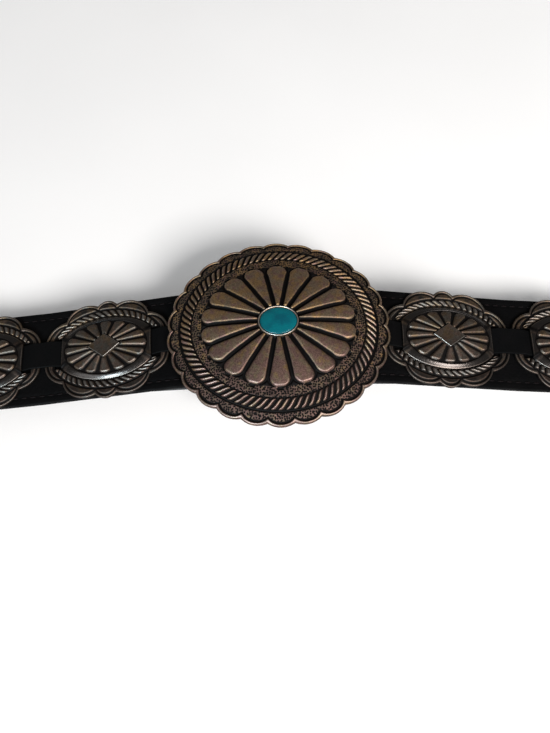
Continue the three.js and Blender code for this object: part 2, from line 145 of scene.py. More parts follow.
class Facets:
    """Grids of points and the faces between them, gathered into one piece.

    Each layer holds a value for every point: its place, how worn and bright the metal is, painted highlights
    and painted shade included, where pits are punched, where the metal is dark and smooth, and the distances
    along and across a band of cloth.
    """

    def __init__(self) -> None:
        """Starts empty."""
        self.layers: dict[str, list[Array]] = {name: [] for name in ("place", *SHADES, "cloth")}
        self.faces: list[list[int]] = []
        self.count = 0

    def grid(self, points: Array, wear_and_painted_light: Array | float = 0.5, ring: bool = False, keep: Array | None = None,
             cloth: Array | float = 0.0, punched: Array | float = 0.0, polish: Array | float = 0.0) -> Array:
        """Adds a grid of points with a face in each cell. The last column joins the first.

        Args:
            points: Rows by columns by 3, in millimetres.
            wear_and_painted_light: How worn and bright the metal is at each point, 0 to 1, painted highlights
                and painted shade included.
            ring: Whether the last row joins the first.
            keep: Rows by columns, False where the cell after a point is left open.
            cloth: Rows by columns by 2, distances along and across a band.
            punched: Where punched pits lie, 0 to 1.
            polish: Where the metal is dark and smooth, 0 to 1.

        Returns:
            The points' numbers, rows by columns.
        """
        shape = points.shape[:2]
        index = self.count + np.arange(shape[0] * shape[1]).reshape(shape)
        right = np.roll(index, -1, axis=1)
        quads = np.stack([index, right, np.roll(right, -1, axis=0), np.roll(index, -1, axis=0)], axis=-1)
        closed = np.ones(shape, bool) if keep is None else keep.copy()
        if not ring:
            closed[-1] = False
        self.layers["place"].append(points.reshape(-1, 3))
        self.layers["cloth"].append(np.broadcast_to(cloth, (*shape, 2)).reshape(-1, 2))
        for name, values in zip(SHADES, (wear_and_painted_light, punched, polish)):
            self.layers[name].append(np.broadcast_to(values, shape).reshape(-1))
        self.faces += quads[closed].tolist()
        self.count += index.size
        return index

    def face(self, numbers: Array) -> None:
        """Adds one face round the given points."""
        self.faces.append([int(n) for n in numbers])

    def strip(self, first: Array, second: Array) -> None:
        """Adds faces between two closed rows of points, the second to the left of the first's way."""
        quads = np.stack([first, np.roll(first, -1), np.roll(second, -1), second], axis=-1)
        self.faces += quads.tolist()

    def close(self, row: Array, outward: bool) -> None:
        """Closes a row of points with a fan round their middle.

        Args:
            row: The points' numbers.
            outward: Whether the faces turn the same way as the row.
        """
        for layer in self.layers.values():
            layer.append(np.concatenate(layer)[row].mean(axis=0, keepdims=True))
        middle = np.full(len(row), self.count)
        after = np.roll(row, -1)
        self.faces += np.stack([middle, row, after] if outward else [middle, after, row], axis=-1).tolist()
        self.count += 1

    def cap(self, rows: Array) -> None:
        """Closes a grid at its first row and at its last."""
        self.close(rows[0], False)
        self.close(rows[-1], True)

    def piece(self, name: str, place: Callable[[Array], Array] | None = None) -> bpy.types.Object:
        """Puts the gathered faces into a mesh object.

        Args:
            name: The piece's name.
            place: Carries the points to where the piece lies, in millimetres.

        Returns:
            The new object, at the origin, with smooth shading.
        """
        layers = {key: np.concatenate(values) for key, values in self.layers.items()}
        points = place(layers["place"]) if place else layers["place"]
        mesh = bpy.data.meshes.new(name)
        mesh.from_pydata((points * MM).tolist(), [], self.faces)
        for shade in SHADES:
            data = mesh.attributes.new(shade, "FLOAT", "POINT").data
            data.foreach_set("value", layers[shade].astype(np.float32))
        corners = np.empty(len(mesh.loops), dtype=np.int32)
        mesh.loops.foreach_get("vertex_index", corners)
        layer = mesh.uv_layers.new(name="band")
        layer.data.foreach_set("uv", layers["cloth"][corners].astype(np.float32).ravel())
        mesh.shade_smooth()
        mesh.update()
        return link(name, mesh)


class Sheet:
    """A material's node tree, written with short calls."""

    def __init__(self, name: str) -> None:
        """Starts a material that holds one main shader.

        Args:
            name: The material's name.
        """
        self.material = bpy.data.materials.new(name)
        self.material.use_nodes = True
        self.tree = self.material.node_tree
        self.shader = self.tree.nodes["Principled BSDF"]

    def node(self, kind: str, values: dict | None = None, **settings: object) -> bpy.types.Node:
        """Adds a node.

        Args:
            kind: The node's type, without the words that all share.
            values: What its sockets hold or are joined to, by name or number.
            settings: The node's own options.

        Returns:
            The node.
        """
        made = self.tree.nodes.new("ShaderNode" + kind)
        for key, value in settings.items():
            setattr(made, key, value)
        for key, value in (values or {}).items():
            self.feed(made.inputs[key], value)
        return made

    def feed(self, socket: bpy.types.NodeSocket, value: object) -> None:
        """Joins a socket to another, or sets its value."""
        if isinstance(value, bpy.types.NodeSocket):
            self.tree.links.new(value, socket)
        else:
            socket.default_value = value

    def dress(self, **values: object) -> None:
        """Sets the main shader's sockets, with _ for a space in their names."""
        for key, value in values.items():
            self.feed(self.shader.inputs[key.replace("_", " ")], value)

    def shade(self, name: str) -> bpy.types.NodeSocket:
        """One of the mesh's layers of values."""
        return self.node("Attribute", attribute_name=name).outputs["Fac"]

    def where(self) -> bpy.types.NodeSocket:
        """The place on the object."""
        return self.node("TexCoord").outputs["Object"]

    def noise(
        self, scale: float, detail: float = 3, place: object = None, rough: float = 0.5
    ) -> bpy.types.NodeSocket:
        """Soft noise about 0.5, with the scale in patches per metre."""
        values = {"Vector": place or self.where(), "Scale": scale, "Detail": detail, "Roughness": rough}
        return self.node("TexNoise", values).outputs["Fac"]

    def level(
        self, value: object, low: float, high: float, to_low: float = 0, to_high: float = 1
    ) -> bpy.types.NodeSocket:
        """A value's range moved to another range, softly at its ends."""
        values = {"Value": value, "From Min": low, "From Max": high, "To Min": to_low, "To Max": to_high}
        return self.node("MapRange", values, interpolation_type="SMOOTHSTEP").outputs["Result"]

    def mix(self, share: object, first: object, second: object) -> bpy.types.NodeSocket:
        """Two colours mixed by a share."""
        made = self.node("Mix", data_type="RGBA")
        self.feed(made.inputs[0], share)
        self.feed(made.inputs[6], first)
        self.feed(made.inputs[7], second)
        return made.outputs[2]

    def math(self, operation: str, first: object, second: object = 0.0) -> bpy.types.NodeSocket:
        """One sum on two values."""
        return self.node("Math", {0: first, 1: second}, operation=operation).outputs[0]

    def bump(
        self, height: object, depth: float, strength: float = 1.0, normal: object = None
    ) -> bpy.types.NodeSocket:
        """A bumped normal from a height of 0 to 1, over a depth in millimetres."""
        values = {"Height": height, "Distance": depth * MM, "Strength": strength}
        if normal is not None:
            values["Normal"] = normal
        return self.node("Bump", values).outputs["Normal"]


@dataclass(frozen=True)
class CastMetal:
    """Antiqued cast metal: nearly black where it lies low, brown pewter on top, bright on worn edges and on
    painted highlights.
    """

    name: str = "cast_metal"
    soot: tuple = (0.004, 0.003, 0.0028, 1)
    brown: tuple = (0.245, 0.148, 0.07, 1)
    rose: tuple = (0.185, 0.105, 0.085, 1)
    grey: tuple = (0.195, 0.138, 0.09, 1)
    worn_edge_and_highlight: tuple = (0.34, 0.3, 0.265, 1)
    steel: tuple = (0.07, 0.061, 0.056, 1)
    pitch: float = 0.92

    def material(self) -> bpy.types.Material:
        """Returns the material. Its wear attribute, painted highlights and painted shade included, runs from
        0 in recesses over 0.5 on tops to 1 on edges.
        """
        sheet = Sheet(self.name)
        wear_and_painted_light = sheet.shade("wear_and_painted_light")
        punched = sheet.shade("punched")
        spots = {"Vector": sheet.where(), "Scale": 1 / (self.pitch * MM), "Randomness": 0.75}
        cells = sheet.node("TexVoronoi", spots, voronoi_dimensions="2D").outputs["Distance"]
        pit = sheet.math("MULTIPLY", sheet.level(cells, 0.2, 0.46, 1, 0), punched)
        wear_and_painted_light = sheet.math("SUBTRACT", wear_and_painted_light, sheet.math("MULTIPLY", pit, 0.42))
        cloud = sheet.noise(260, 4)
        grain = sheet.noise(2400, 2, rough=0.7)
        # Towards the near side, along -Y, the colour turns rosier and its speckle darker.
        near_side = sheet.level(sheet.node("SeparateXYZ", {0: sheet.where()}).outputs[1], -0.03, 0.008, 1, 0)
        warm = sheet.math("SUBTRACT", cloud, sheet.math("MULTIPLY", near_side, 0.14))
        patina = sheet.mix(sheet.level(warm, 0.38, 0.6), self.grey, self.brown)
        rosy = sheet.math("ADD", sheet.noise(430, 3), sheet.math("MULTIPLY", near_side, 0.15))
        patina = sheet.mix(sheet.level(rosy, 0.46, 0.7), patina, self.rose)
        dimmed = sheet.level(near_side, 0, 1, 1, 0.62)
        speckle = sheet.math("MULTIPLY", sheet.level(grain, 0.3, 0.75, 0.6, 1.42), dimmed)
        patina = sheet.node("VectorMath", {0: patina, 1: speckle}, operation="MULTIPLY").outputs[0]
        # Worn edges and painted highlights both reach the bright worn colour here.
        top = sheet.mix(sheet.level(wear_and_painted_light, 0.62, 1.0), patina, self.worn_edge_and_highlight)
        uneven = sheet.math("ADD", wear_and_painted_light, sheet.level(cloud, 0.3, 0.7, -0.06, 0.06))
        colour = sheet.mix(sheet.level(uneven, 0.1, 0.42), self.soot, top)
        polish = sheet.shade("polish")
        colour = sheet.mix(polish, colour, sheet.mix(sheet.level(wear_and_painted_light, 0.1, 0.7), self.soot, self.steel))
        worn_rough = sheet.level(wear_and_painted_light, 0.2, 0.9, 0.62, 0.36)
        rough = sheet.math("SUBTRACT", worn_rough, sheet.math("MULTIPLY", polish, 0.34))
        rough = sheet.math("ADD", rough, sheet.level(grain, 0.2, 0.8, -0.06, 0.08))
        metal = sheet.level(wear_and_painted_light, 0.05, 0.4, 0.25, 0.92)
        dents = sheet.math("ADD", grain, sheet.math("MULTIPLY", sheet.noise(900, 3), 0.8))
        dented = sheet.bump(sheet.math("SUBTRACT", 1.0, pit), 0.25, 1.0, sheet.bump(dents, 0.05, 0.55))
        gloss = sheet.level(wear_and_painted_light, 0.1, 0.5, 0.08, 0.5)
        sheet.dress(
            Base_Color=colour, Roughness=rough, Metallic=metal, Specular_IOR_Level=gloss, Normal=dented
        )
        return sheet.material


@dataclass(frozen=True)
class Turquoise:
    """Polished teal stone, nearly even, with faint clouds."""

    teal: tuple = (0.0, 0.122, 0.15, 1)
    deep: tuple = (0.0, 0.082, 0.115, 1)

    def material(self) -> bpy.types.Material:
        """Returns the material."""
        sheet = Sheet("turquoise")
        cloud = sheet.level(sheet.noise(220, 4), 0.35, 0.7)
        fleck = sheet.level(sheet.noise(1500, 2), 0.6, 0.8, 0, 0.25)
        colour = sheet.mix(fleck, sheet.mix(cloud, self.teal, self.deep), (0.0, 0.15, 0.175, 1))
        sheet.dress(
            Base_Color=colour, Roughness=sheet.level(cloud, 0, 1, 0.24, 0.32), Specular_IOR_Level=0.16,
            Coat_Weight=0.12, Coat_Roughness=0.12, Normal=sheet.bump(sheet.noise(700, 2), 0.02, 0.4),
        )
        return sheet.material


@dataclass(frozen=True)
class Leather:
    """Grained leather."""

    name: str
    dark: tuple
    light: tuple
    roughness: float
    grain: float = 900
    depth: float = 0.12

    def material(self) -> bpy.types.Material:
        """Returns the material: a fine pebbled grain, a few creases and lighter rubbed patches."""
        sheet = Sheet(self.name)
        place = sheet.where()
        spots = {"Vector": place, "Scale": self.grain}
        pebble = sheet.node("TexVoronoi", spots, feature="SMOOTH_F1").outputs["Distance"]
        crease = sheet.level(sheet.noise(330, 5, rough=0.65), 0.42, 0.5)
        rubbed = sheet.level(sheet.noise(140, 4), 0.4, 0.75)
        colour = sheet.mix(rubbed, self.dark, self.light)
        darkest = tuple(0.4 * c for c in self.dark[:3]) + (1,)
        colour = sheet.mix(sheet.level(pebble, 0.5, 0.8, 0, 0.6), colour, darkest)
        height = sheet.math("SUBTRACT", sheet.math("MULTIPLY", crease, 0.35), pebble)
        rough = sheet.level(rubbed, 0, 1, self.roughness + 0.08, self.roughness - 0.08)
        grained = sheet.bump(height, self.depth, 0.8)
        sheet.dress(Base_Color=colour, Roughness=rough, Specular_IOR_Level=0.055, Normal=grained)
        return sheet.material


@dataclass(frozen=True)
class Webbing:
    """Black woven elastic: cords along the band and fine picks across them."""

    pick: float = 0.9
    cord: float = 1.3

    def material(self) -> bpy.types.Material:
        """Returns the material. It reads the band's own map, in millimetres along and across."""
        sheet = Sheet("elastic_webbing")
        band = sheet.node("SeparateXYZ", {0: sheet.node("UVMap", uv_map="band").outputs[0]})
        along = sheet.math("MULTIPLY", band.outputs[0], TURN / self.pick)
        across = sheet.math("MULTIPLY", band.outputs[1], TURN / self.cord)
        sway = sheet.math("MULTIPLY", sheet.math("SINE", across), 1.4)
        pick = sheet.math("SINE", sheet.math("ADD", along, sway))
        cord = sheet.math("ABSOLUTE", sheet.math("SINE", sheet.math("MULTIPLY", across, 0.5)))
        weave = sheet.math("ADD", sheet.math("MULTIPLY", pick, 0.25), sheet.math("MULTIPLY", cord, 0.6))
        lint = sheet.level(sheet.noise(600, 4), 0.5, 0.8, 0, 0.5)
        black, soot, dust = (0.004, 0.004, 0.0043, 1), (0.018, 0.0174, 0.0186, 1), (0.028, 0.0268, 0.028, 1)
        colour = sheet.mix(lint, sheet.mix(sheet.level(weave, 0.0, 0.8), black, soot), dust)
        sheet.dress(Base_Color=colour, Roughness=sheet.level(weave, 0, 1, 0.92, 0.75), Sheen_Weight=0.08,
                    Sheen_Roughness=0.5, Normal=sheet.bump(weave, 0.25, 0.8))
        return sheet.material


@dataclass(frozen=True)
class PlainMetal:
    """Dull plain metal with fine scratches."""

    def material(self) -> bpy.types.Material:
        """Returns the material."""
        sheet = Sheet("plain_metal")
        long_place = sheet.node("Mapping", {"Vector": sheet.where(), "Scale": (60, 1600, 900)}).outputs[0]
        scratch = sheet.noise(1, 4, place=long_place)
        cloud = sheet.noise(180, 4)
        colour = sheet.mix(sheet.level(cloud, 0.35, 0.7), (0.2, 0.18, 0.155, 1), (0.33, 0.3, 0.27, 1))
        sheet.dress(Base_Color=colour, Metallic=1.0, Roughness=sheet.level(scratch, 0.3, 0.7, 0.35, 0.55),
                    Normal=sheet.bump(scratch, 0.03, 0.5))
        return sheet.material


@dataclass(frozen=True)
class Thread:
    """Waxed black thread, twisted."""

    def material(self) -> bpy.types.Material:
        """Returns the material."""
        sheet = Sheet("thread")
        strands = {"Vector": sheet.where(), "Scale": 900.0, "Distortion": 1.0}
        twist = sheet.node("TexWave", strands, bands_direction="DIAGONAL").outputs["Fac"]
        colour = sheet.mix(twist, (0.002, 0.0012, 0.0013, 1), (0.009, 0.005, 0.0055, 1))
        sheet.dress(
            Base_Color=colour, Roughness=sheet.level(twist, 0, 1, 0.6, 0.75), Specular_IOR_Level=0.06,
            Normal=sheet.bump(twist, 0.08, 0.6),
        )
        return sheet.material


class Finishes:
    """Each finish, made once, kept under its name."""

    def __init__(self) -> None:
        """Makes the materials."""
        concho_metal = CastMetal(
            "concho_metal", brown=(0.1, 0.066, 0.039, 1), rose=(0.097, 0.064, 0.049, 1),
            grey=(0.083, 0.069, 0.057, 1), worn_edge_and_highlight=(0.212, 0.194, 0.176, 1),
        )
        black_leather = Leather(
            "black_leather", (0.0008, 0.0006, 0.0007, 1), (0.0022, 0.0019, 0.002, 1), 0.66
        )
        strap_leather = Leather(
            "strap_leather", (0.0012, 0.0011, 0.0012, 1), (0.0026, 0.0024, 0.0026, 1), 0.66, 1300, 0.06
        )
        self.made = {
            "cast_metal": CastMetal().material(),
            "concho_metal": concho_metal.material(),
            "turquoise": Turquoise().material(),
            "black_leather": black_leather.material(),
            "strap_leather": strap_leather.material(),
            "elastic_webbing": Webbing().material(),
            "plain_metal": PlainMetal().material(),
            "thread": Thread().material(),
        }

    def dress(self, piece: bpy.types.Object, slot: str, finish: str | None = None) -> None:
        """Gives a piece its material and hangs it under the body's empty.

        Args:
            piece: The piece.
            slot: The name of the material to use where no finish is given.
            finish: The finish, where it isn't named as the slot is.
        """
        piece.data.materials.clear()
        piece.data.materials.append(self.made[finish or slot])
        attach(piece, BODY)


@dataclass(frozen=True)
class BeltLine:
    """The belt's line: its low arch in side view and its slight kink from above, in millimetres."""

    band_width: float = 43
    leather: float = 2.4
    elastic: float = 2
    gap: float = 0.3
    fold_radius: float = 4.2
    end_x: float = 216
    lap: float = 15
    arch_end: float = 13.05
    arch_rise: float = 13.8
    arch_reach: float = 92
    kink_x: float = -5.9
    kink_y: float = 1
    slope_left: float = 0.058
    slope_right: float = 0.053
    back_y: float = 6
    back_bow: float = 13.5
    buckle_seat: float = 44.5
    pitch: float = 57.5
    concho_slide: float = -0.9
    panel_inner: float = 4
    panel_outer: float = 167

    @property
    def stations(self) -> Array:
        """Where the front's straight stretches meet."""
        seat = self.buckle_seat
        return np.array([0, seat, seat + self.pitch, seat + 2 * self.pitch, self.end_x])

    @property
    def levels(self) -> Array:
        """The height of the leather's face at each station."""
        reached = np.maximum(self.stations, self.buckle_seat)
        return self.arch_end + self.arch_rise * np.exp(-((reached / self.arch_reach) ** 2))

    @property
    def face(self) -> float:
        """The height of the leather's face under the buckle."""
        return float(self.levels[0])

    def on_front(self, x: Array, lift: Array | float) -> tuple[Array, Array]:
        """Places on the front in side view.

        Args:
            x: Distances along the belt.
            lift: Heights over the leather's face, square to it.

        Returns:
            The places' X and Z.
        """
        distance = np.minimum(np.abs(x), self.end_x)
        part = np.clip(np.searchsorted(self.stations, distance - 1e-9) - 1, 0, len(self.stations) - 2)
        run = np.diff(self.stations)[part]
        rise = np.diff(self.levels)[part]
        length = np.hypot(run, rise)
        height = np.interp(distance, self.stations, self.levels)
        side = np.where(np.asarray(x) < 0, -1.0, 1.0)
        return side * (distance - rise / length * lift), height + run / length * lift

    def front_y(self, x: Array) -> Array:
        """The front's middle line seen from above: straight on each side of the kink."""
        slope = np.where(np.asarray(x) < self.kink_x, self.slope_left, self.slope_right)
        return self.kink_y - slope * np.abs(x - self.kink_x)

    def elastic_y(self, x: Array, z: Array) -> Array:
        """The elastic's middle line: the front's line above, a gentle bow on the surface."""
        level = self.on_front(x, -self.leather - self.gap - self.elastic / 2)[1]
        back = self.back_y - self.back_bow * (x / self.end_x) ** 2
        share = np.clip((level - z) / (level - self.elastic / 2), 0, 1)
        return self.front_y(x) * (1 - share) + back * share


@dataclass
class Buckle:
    """The cast buckle, worked out over the leather's face and centred on the origin.

    Lengths are in millimetres. The half axes are a and b, and offsets run inwards from the outline.
    """

    line: BeltLine
    finishes: Finishes
    a: float = 47.2
    b: float = 42.3
    rim: float = 4.5
    thick: float = 1.5
    dome: float = 8.65
    power: float = 2.5
    wall: float = 2.2
    scallops: int = 26
    notch: float = 1.4
    line_height: float = 0.42
    line_groove: float = 0.6
    rope_out: float = 5.9
    rope_in: float = 11.0
    strands: int = 84
    rope_slant: float = 0.78
    rope_sunk: float = 0.55
    rope_rise: float = 1.15
    petal_edge: float = 14.9
    petals: int = 18
    petal_lift: float = 0.72
    shoulder: float = 1.2
    groove: float = 0.96
    groove_depth: float = 0.62
    tip_length: float = 4.4
    petal_crown: float = 0.34
    stone_a: float = 7.6
    stone_b: float = 6.05
    bezel: float = 0.7
    boss_x: float = 23
    boss_radius: float = 4.0
    pieces: list = field(default_factory=list)

    def height(self, offset: Array | float) -> Array:
        """The smooth dome: it falls with a power of the distance from the middle over the half axis."""
        return self.rim + self.dome * (1 - np.abs((self.a - offset) / self.a) ** self.power)

    def ring(self, offset: Array | float, angle: Array, z: Array | float) -> Array:
        """Points on ovals that lie an offset inside the outline."""
        return oval(self.a - offset, self.b - offset, angle, z)

    def lift(self, points: Array) -> Array:
        """Carries the buckle up to its seat on the leather."""
        return points + np.array([0, 0, self.line.face])

    def add(self, facets: Facets, name: str, slot: str = "cast_metal") -> None:
        """Makes a piece of the gathered faces and dresses it."""
        made = facets.piece(name, self.lift)
        self.finishes.dress(made, slot)
        self.pieces.append(made)

    def plate(self) -> None:
        """The scalloped plate.

        From the edge inwards it has a round raised line, a dark groove, a field of punched pits and a groove
        that follows the oval. The outline dips in with the square of the distance from each scallop's middle,
        and the raised line grows wider with the fourth power of it, so the groove has sharper cusps.
        """
        columns = self.scallops * 48
        angle = np.arange(columns) * TURN / columns
        place = lobe_place(angle, even_notches(self.scallops))
        dip = self.notch * place**2
        line_width = 1.15 + 1.1 * place**4
        inner_edge = 6.2
        inset = np.concatenate([[0.0, 0.06, 0.16, 0.3], np.linspace(0.45, inner_edge, 48)])[:, None]
        fade = 1 - np.clip(inset / self.rope_out, 0, 1)
        offset = inset + dip * (0.25 + 0.75 * fade) * np.minimum(1, fade * 4)
        line = self.line_height * arch((inset - line_width / 2) / (line_width / 2))
        groove = hump(inset, line_width + 0.3, 0.42) + hump(offset, self.rope_out - 0.1, 0.45)
        groove = self.line_groove * groove
        pits = smooth(inset, line_width + 0.5, line_width + 0.8) * (1 - smooth(offset, 5.1, 5.5))
        corner = 0.35 * (1 - pillow(inset, 0.35))
        wear_and_painted_light = 0.3 + 0.42 * smooth(line, 0.15, 0.4) * (inset < line_width) - 1.1 * groove
        top = self.ring(offset, angle, self.height(offset) + line - groove - corner)
        low = self.rim - self.thick
        side = [oval(self.a - dip - pull, self.b - dip - pull, angle, level)
                for pull, level in ((0.35, low), (0.05, low + 0.3), (0.0, self.rim - 0.35))]
        under = self.ring(inner_edge, angle, low)
        plain = np.full((4, columns), 0.3)
        shades = np.concatenate([plain[:3], np.clip(wear_and_painted_light, 0, 1), plain[3:]])
        punched = np.concatenate([np.zeros((3, columns)), pits, np.zeros((1, columns))])
        facets = Facets()
        facets.grid(np.concatenate([np.stack(side), top, under[None]]), shades, ring=True, punched=punched)
        self.add(facets, "buckle_plate")

    def rope(self) -> None:
        """The rope border: round ridges that slant across the ring in a slight S, in a dark channel."""
        columns = self.strands * 14
        angle = np.arange(columns) * TURN / columns
        outer, inner = self.rope_out - 0.15, self.rope_in + 0.15
        offset = np.linspace(outer, inner, 28)[:, None]
        middle = (self.rope_out + self.rope_in) / 2
        across = (offset - middle) / ((self.rope_in - self.rope_out) / 2)
        turns = angle * self.strands / TURN - self.rope_slant * (across - 0.06 * np.sin(math.pi * across))
        ridge = arch(strand_place(turns) / 0.64) * arch(across / 0.88, 6)
        wear_and_painted_light = 0.02 + 0.68 * smooth(ridge, 0.25, 0.95)
        top = self.ring(offset, angle, self.height(offset) - self.rope_sunk + self.rope_rise * ridge)
        skirts = [self.ring(pull, angle, self.height(pull) - depth)
                  for pull, depth in ((inner, 1.8), (outer, 1.6))]
        facets = Facets()
        shades = np.concatenate([wear_and_painted_light, np.zeros((2, columns))])
        facets.grid(np.concatenate([top, np.stack(skirts)]), shades, ring=True)
        self.add(facets, "buckle_rope")

    def petal_relief(self, angle: Array, ring_a: Array, ring_b: Array) -> tuple[Array, Array, Array]:
        """The petals and the field of pits outside them.

        Each petal is flat with rounded shoulders: its edge is where the distance to the groove, or to its
        round tip, is nothing. Deep grooves part the petals.

        Args:
            angle: The columns' angles.
            ring_a: Each row's half axis along X.
            ring_b: Each row's half axis along Y.

        Returns:
            The heights, the wear with a painted highlight near the petals' tips, and where pits are punched.
        """
        start = self.rope_in - 0.1
        place = lobe_place(angle, even_notches(self.petals))
        tip_a, tip_b = self.a - self.petal_edge, self.b - self.petal_edge
        spread = np.hypot(ring_a * np.sin(angle), ring_b * np.cos(angle)) * math.pi / self.petals
        radius = np.hypot(ring_a * np.cos(angle), ring_b * np.sin(angle))
        inward = np.hypot(tip_a * np.cos(angle), tip_b * np.sin(angle)) - radius
        depth = np.clip(inward / self.tip_length, 0, 1)
        allowed = (spread - self.groove / 2) * arch(1 - depth, 2.1)
        edge = np.minimum(allowed - np.abs(place) * spread, inward)
        inside = np.clip(edge, 0, None)
        raised = pillow(inside, self.shoulder)
        around = 1 - smooth(-edge, 0.6, 1.35)
        started = smooth(self.a - ring_a, start, start + 0.35)
        between = smooth(inward, 0.0, 0.8)
        pits = smooth(-edge, 0.9, 1.35) * (1 - between) * started
        crown = self.petal_crown * (1 - place**2) * (edge > 0)
        z = self.height(self.a - ring_a) - 0.1 - self.groove_depth * around * (1 - raised)
        z = z + raised * (self.petal_lift - 0.1) + crown - 0.5 * (1 - started)
        # rim_light and tip_light are a painted highlight along the petals' rims near their outer tips.
        rim_light = np.clip(edge / 0.25, 0, 1) * (1 - smooth(edge, 0.45, 1.6))
        ground = 0.3 * (1 - between) - 0.6 * around - 0.5 * (1 - started)
        tip_light = rim_light * (1 - smooth(inward, 1.5, 6.0))
        wear_and_painted_light = np.where(edge > 0, 0.54 * smooth(inside, 0.15, 1.0) + 0.3 * tip_light, ground)
        return z, wear_and_painted_light, pits

    def dome_top(self) -> None:
        """The domed middle: the petals' relief, a thin bezel round the stone's seat, and the hollow below."""
        columns = self.petals * 50
        angle = np.arange(columns) * TURN / columns
        start = self.rope_in - 0.1
        outer = np.linspace(start, self.petal_edge - 0.15, 26)
        share = np.concatenate([np.linspace(0, 0.2, 16), np.linspace(0.2, 1, 38)[1:]])
        halves = []
        for half, stone in ((self.a, self.stone_a), (self.b, self.stone_b)):
            tip = half - self.petal_edge
            seat = stone + self.bezel + 0.5
            halves.append(np.concatenate([half - outer, tip + (seat - tip) * share])[:, None])
        ring_a, ring_b = halves
        z, wear_and_painted_light, pits = self.petal_relief(angle, ring_a, ring_b)
        top = oval(ring_a, ring_b, angle, z)
        seat = float(self.height(self.a - self.stone_a))
        # The bezel from its foot over its crest to the stone: outset, height over the seat, wear
        walls = ((0.25, -0.35, 0.0), (0.0, -0.1, 0.3), (0.0, 0.5, 0.9),
                 (-0.2, 0.68, 1.0), (-0.5, 0.62, 0.9), (-0.6, 0.2, 0.1))
        wall_a, wall_b = self.stone_a + self.bezel, self.stone_b + self.bezel
        rings = [oval(wall_a + pull, wall_b + pull, angle, seat + level) for pull, level, _ in walls]
        floor = oval(self.stone_a - 1.5, self.stone_b - 1.5, angle, seat - 0.65)
        roof = [self.ring(offset, angle, self.height(offset) - self.wall)
                for offset in (38, 34, 28, 22, 16, self.rope_in + 0.2)]
        skirt = self.ring(start, angle, self.height(start) - 1.9)
        shades = np.zeros((len(top) + len(walls) + 2, columns))
        shades[1:1 + len(top)] = np.clip(wear_and_painted_light, 0, 1)
        shades[1 + len(top):-1] = np.array([shade for _, _, shade in walls])[:, None]
        punched = np.zeros(shades.shape)
        punched[1:1 + len(top)] = pits
        facets = Facets()
        upper = facets.grid(np.concatenate([skirt[None], top, rings, floor[None]]), shades, punched=punched)
        facets.close(upper[-1], True)
        lower = facets.grid(np.stack(roof), 0.3)
        facets.close(lower[0], False)
        facets.strip(lower[-1], upper[0])
        self.add(facets, "buckle_dome")

    def stone(self) -> None:
        """The oval stone: a low crown that falls as the square of the distance, with a soft edge."""
        angle = np.arange(120) * TURN / 120
        base = float(self.height(self.a - self.stone_a)) - 0.3
        share = np.array([1, 1.0, 0.985, 0.95, 0.88, 0.78, 0.65, 0.5, 0.34, 0.17, 0.05])[:, None]
        rise = np.array([0, 0.55, 0.8, 0.95, 1.12, 1.3, 1.48, 1.63, 1.74, 1.8, 1.82])[:, None]
        points = oval((self.stone_a - 0.05) * share, (self.stone_b - 0.05) * share, angle, base + rise)
        facets = Facets()
        facets.cap(facets.grid(points))
        self.add(facets, "stone", "turquoise")

    def seats(self) -> None:
        """The two short round bosses behind the dome that rest on the hook piece."""
        angle = np.arange(32) * TURN / 32
        roof = float(self.height(self.a - self.boss_x)) - 1.7
        radii = self.boss_radius - np.array([[0.2], [0], [0], [0]])
        levels = np.array([[2.2], [2.5], [8.5], [roof]])
        facets = Facets()
        for side in Side:
            rings = oval(radii, radii, angle, levels) + np.array([self.boss_x * side.value, 0, 0])
            facets.cap(facets.grid(rings, 0.4))
        self.add(facets, "buckle_seats")

    def build(self) -> list:
        """Makes every piece of the buckle and returns them."""
        self.plate()
        self.rope()
        self.dome_top()
        self.seats()
        for piece in self.pieces:
            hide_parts("buckle")
        self.stone()
        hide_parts("buckle_stone")
        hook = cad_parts["buckle_hook"]
        hook.data.materials.clear()
        hook.data.materials.append(self.finishes.made["plain_metal"])
        return self.pieces


@dataclass(frozen=True)
class Curves:
    """The curves that a concho's rows run between, seen from above, with a point in each column.

    The angle and the place of each column come first: its place is that between its scallop's two notches.
    """

    angle: Array
    place: Array
    in_slot: Array
    outline: Array
    rope_line: Array
    foot: Array
    tips: Array
    lozenge: Array


